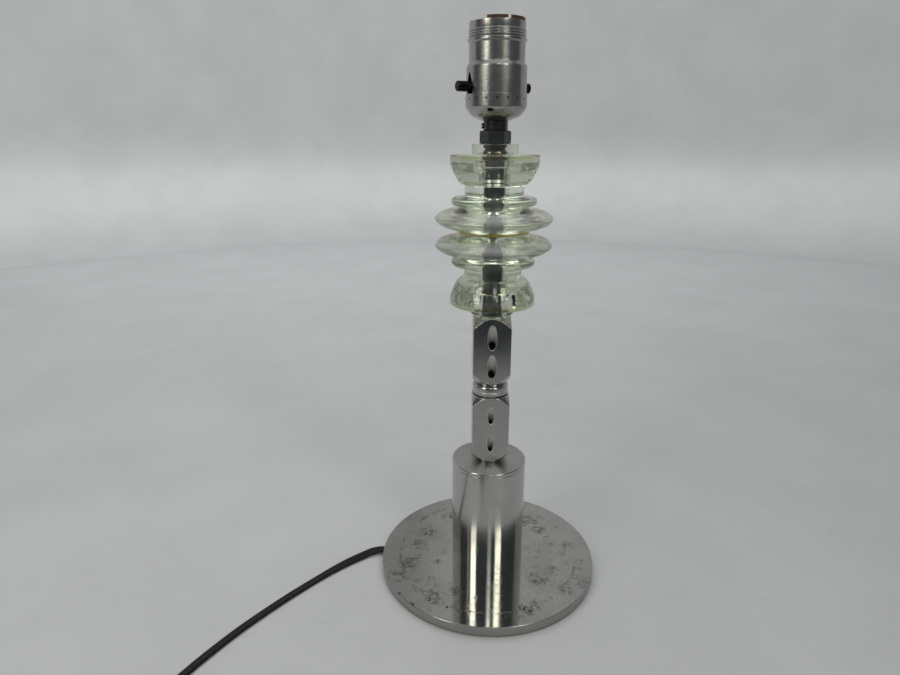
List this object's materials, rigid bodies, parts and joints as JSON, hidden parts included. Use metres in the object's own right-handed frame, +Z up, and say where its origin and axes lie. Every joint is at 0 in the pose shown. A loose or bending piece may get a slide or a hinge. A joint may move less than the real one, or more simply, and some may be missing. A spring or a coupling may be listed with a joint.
{
  "type": "table lamp base",
  "caption": "Table lamp base: two clear glass insulators on a core over drilled square aluminium posts, a round column and a disc base, with a push-through bulb socket and flat cord.",
  "frame": {"origin": "on the table, under the centre of the round base (underside of the felt pad)", "axes": "+Z up along the lamp pipe; -Y is the side with the oblique holes, +X to its right; the cord leaves towards -X"},
  "size_m": [0.268, 0.268, 0.362],
  "materials": {
    "aluminium_base": "polished, stained and pitted",
    "aluminium_column": "polished",
    "aluminium_turned": "turned",
    "aluminium_post": "polished, lightly scratched",
    "felt": "matt felt",
    "steel": "zinc plated",
    "dark_steel": "blackened",
    "black_stem": "satin black",
    "grey_core": "satin",
    "bright_chrome": "bright",
    "bronze_chrome": "dark bright",
    "black_rubber": "matt",
    "glass": "clear, faint green tint",
    "glue": "yellowed glue",
    "brass": "satin",
    "blade_brass": "nickel plated",
    "socket_sheet": "polished, spun",
    "fibre": "vulcanised fibre",
    "bakelite": "moulded phenolic",
    "black_plastic": "gloss black",
    "cord": "soft black vinyl",
    "plug_vinyl": "moulded vinyl"
  },
  "bodies": {
    "lamp": {"base_disc": "aluminium_base", "felt_pad": "felt", "base_screws": "steel", "column_plug": "aluminium_turned", "column_tube": "aluminium_column", "column_cap": "aluminium_column", "pipe_washer": "steel", "pipe_nut": "brass", "lamp_pipe": "steel", "lower_post": "aluminium_post", "spacer_ring": "aluminium_post", "upper_post": "aluminium_post", "lower_insulator": "glass", "bond_line": "glue", "upper_insulator": "glass", "core_tube": "grey_core", "bright_sleeve": "bright_chrome", "threaded_nipple": "dark_steel", "collar_bushing": "bronze_chrome", "collar_gasket": "black_rubber", "lock_nut": "dark_steel", "socket_stem": "black_stem", "stem_screw": "dark_steel", "socket_cap": "socket_sheet", "cap_insulator": "fibre", "socket_shell": "socket_sheet", "shell_liner": "fibre", "bulb_screw_shell": "brass", "centre_contact": "brass", "switch_body": "bakelite", "terminal_screws": "brass", "lead_wires": "cord", "inner_cord": "cord", "cord_run": "cord", "cord_coil": "cord", "cord_tail": "cord", "plug_relief": "plug_vinyl", "plug_body": "plug_vinyl", "plug_blades": "blade_brass"},
    "switch": {"switch_bar": "black_plastic"}
  },
  "joints": [
    {"name": "switch_push", "type": "slide", "parent": "lamp", "child": "switch", "axis": [0.9063, 0.4226, 0], "range_m": [0, 0.0034]}
  ]
}
